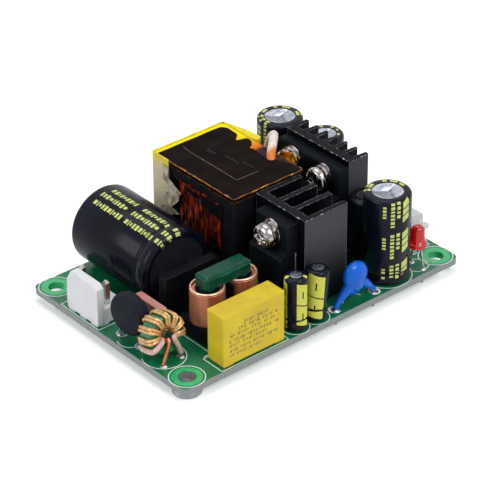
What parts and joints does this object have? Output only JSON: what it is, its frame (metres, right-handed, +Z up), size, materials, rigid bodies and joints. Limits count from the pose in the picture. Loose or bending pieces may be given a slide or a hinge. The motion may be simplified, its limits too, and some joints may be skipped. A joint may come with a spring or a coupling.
{
  "type": "open frame power supply",
  "caption": "Open frame AC to DC power supply on a rectangular board, with filter parts, a bulk capacitor, finned heatsinks, a wound transformer and output capacitors.",
  "frame": {"origin": "centre of the four mounting holes, on the underside of the board", "axes": "+X along the long side towards the output header, +Y along the short side away from the film capacitor, +Z up out of the component side"},
  "size_m": [0.077, 0.0508, 0.0267],
  "materials": {
    "board": "glossy green solder mask over glass epoxy",
    "spacer": "turned and nickel plated",
    "solder": "bright tin solder",
    "tinned_leads": "tinned copper wire",
    "inlet_housing": "natural nylon",
    "output_housing": "light grey nylon",
    "fuse_case": "salmon pink moulded case",
    "thermistor_coat": "dull dark grey epoxy dip",
    "green_core": "green coated ferrite",
    "toroid_wire": "golden enamelled copper wire",
    "flat_copper": "edge wound enamelled copper",
    "choke_bobbin": "black phenolic moulding",
    "film_case": "yellow polyester box",
    "bridge_body": "black moulded epoxy",
    "can": "bright drawn aluminium",
    "bulk_sleeve": "dark blue-black shrunk sleeve",
    "cap_sleeve": "black shrunk sleeve with printed stripes",
    "seal": "pressed rubber seal",
    "heatsink": "black anodised extrusion",
    "device_body": "dark grey moulded epoxy",
    "screw": "bright nickel plated steel",
    "transformer_core": "dark ferrite",
    "transformer_bobbin": "black phenolic moulding",
    "transformer_copper": "red enamelled copper wire",
    "amber_tape": "amber polyimide film over the core",
    "yellow_tape": "yellow polyester tape",
    "lead_sleeve": "pale pink lead sleeving",
    "blue_coat": "glossy blue epoxy dip",
    "shrink_tube": "black heat shrink tube",
    "lamp": "red diffused epoxy",
    "chip_body": "black moulded epoxy"
  },
  "bodies": {
    "root": {"circuit_board": "board", "earth_spacer": "spacer", "solder_joints": "solder", "inlet_header": "inlet_housing", "inlet_pins": "tinned_leads", "output_header": "output_housing", "output_pins": "tinned_leads", "flat_fuse": "fuse_case", "thermistor": "thermistor_coat", "thermistor_leads": "tinned_leads", "toroid_core": "green_core", "toroid_winding": "toroid_wire", "line_choke_core": "green_core", "line_choke_bobbin": "choke_bobbin", "line_choke_left_winding": "flat_copper", "line_choke_right_winding": "flat_copper", "line_choke_pins": "tinned_leads", "x_capacitor": "film_case", "x_capacitor_leads": "tinned_leads", "bridge_rectifier": "bridge_body", "bridge_leads": "tinned_leads", "bulk_can": "can", "bulk_sleeve": "bulk_sleeve", "front_output_can": "can", "front_output_sleeve": "cap_sleeve", "rear_output_can": "can", "rear_output_sleeve": "cap_sleeve", "side_output_can": "can", "side_output_sleeve": "cap_sleeve", "first_primary_can": "can", "first_primary_sleeve": "cap_sleeve", "second_primary_can": "can", "second_primary_sleeve": "cap_sleeve", "capacitor_seals": "seal", "capacitor_leads": "tinned_leads", "primary_heatsink": "heatsink", "secondary_heatsink": "heatsink", "heatsink_pins": "tinned_leads", "primary_switch": "device_body", "front_rectifier": "device_body", "rear_rectifier": "device_body", "device_leads": "tinned_leads", "device_screws": "screw", "spring_washers": "screw", "flat_washers": "screw", "transformer_core": "transformer_core", "transformer_bobbin": "transformer_bobbin", "transformer_winding": "transformer_copper", "transformer_tape": "amber_tape", "transformer_wrap": "yellow_tape", "transformer_pins": "tinned_leads", "transformer_lead": "lead_sleeve", "blue_capacitor": "blue_coat", "drum_choke": "shrink_tube", "drum_choke_leads": "tinned_leads", "indicator_lamp": "lamp", "indicator_leads": "tinned_leads", "optocoupler": "chip_body", "controller_chip": "chip_body"}
  },
  "joints": []
}
